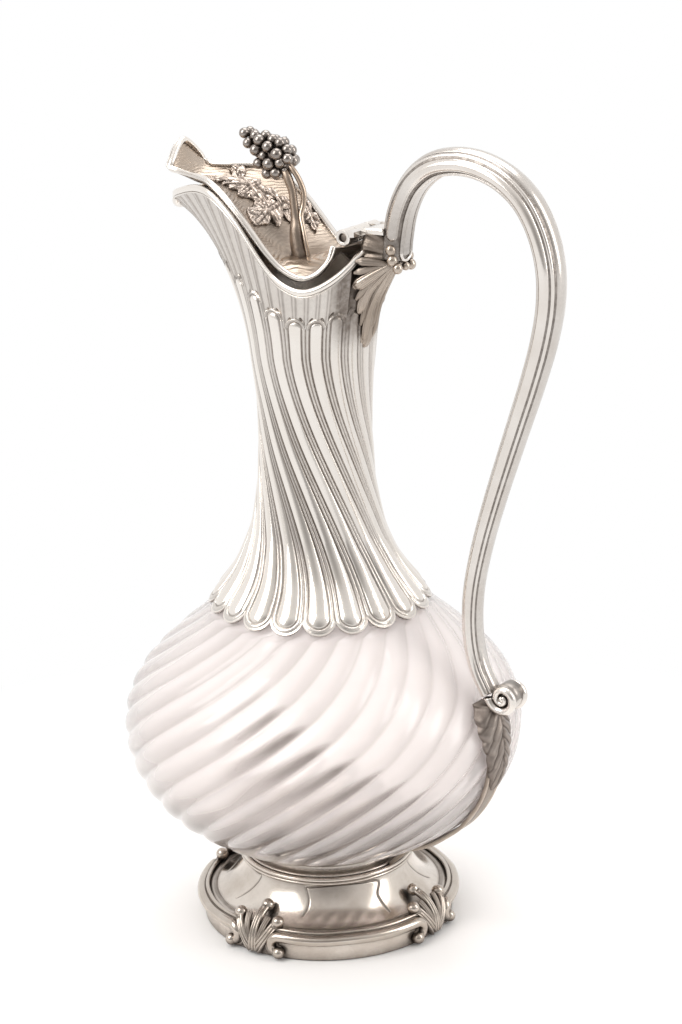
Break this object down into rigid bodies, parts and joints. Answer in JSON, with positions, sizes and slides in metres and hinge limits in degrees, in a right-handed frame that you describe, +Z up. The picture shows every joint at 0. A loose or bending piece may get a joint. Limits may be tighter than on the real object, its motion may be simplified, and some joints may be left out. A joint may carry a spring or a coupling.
{
  "type": "claret jug",
  "caption": "Claret jug: a spirally fluted glass body in silver mounts, with a twisted neck, a hinged lid topped by grapes, a reeded scroll handle and a scrolled foot.",
  "frame": {"origin": "on the vessel axis, at the level of the table under the foot", "axes": "+Z up along the vessel axis, +X towards the handle, -X towards the spout, +Y to the right of the spout seen from the handle"},
  "size_m": [0.1725, 0.1444, 0.2894],
  "materials": {
    "silver": "polished silver, darkened in the recesses",
    "oxidised_silver": "chased silver with dark oxide in the recesses",
    "clear_glass": "clear cut glass",
    "plaster": "matt setting plaster"
  },
  "bodies": {
    "vessel": {"glass_body": "clear_glass", "neck_bedding": "plaster", "neck_mount": "silver", "mouth_rim": "silver", "handle_bracket": "oxidised_silver", "bracket_shelf": "silver", "bracket_beads": "silver", "hinge_knuckles": "silver", "hinge_pin": "oxidised_silver", "handle": "silver", "handle_volute": "silver", "lower_leaf": "oxidised_silver", "bulb_strap": "silver", "glass_seat": "silver", "seat_bedding": "plaster", "foot_collar": "silver", "foot_dome": "silver", "foot_wall": "silver", "foot_scroll_front": "silver", "foot_scroll_left": "silver", "foot_scroll_back": "silver", "foot_scroll_right": "silver", "reed_cluster_handle": "silver", "reed_cluster_front": "silver", "reed_cluster_spout": "silver", "reed_cluster_back": "silver"},
    "lid": {"lid_shell": "silver", "lid_rim": "silver", "lid_knuckle": "silver", "lid_hinge_plate": "silver", "vine_stem": "silver", "grape_cluster": "oxidised_silver", "vine_leaf_large": "oxidised_silver", "vine_leaf_small": "oxidised_silver", "vine_leaf_far": "oxidised_silver"}
  },
  "joints": [
    {"name": "lid_hinge", "type": "hinge", "parent": "vessel", "child": "lid", "pos_m": [0.0205, 0, 0.256], "axis": [0, 1, 0], "range_deg": [0, 75]}
  ]
}
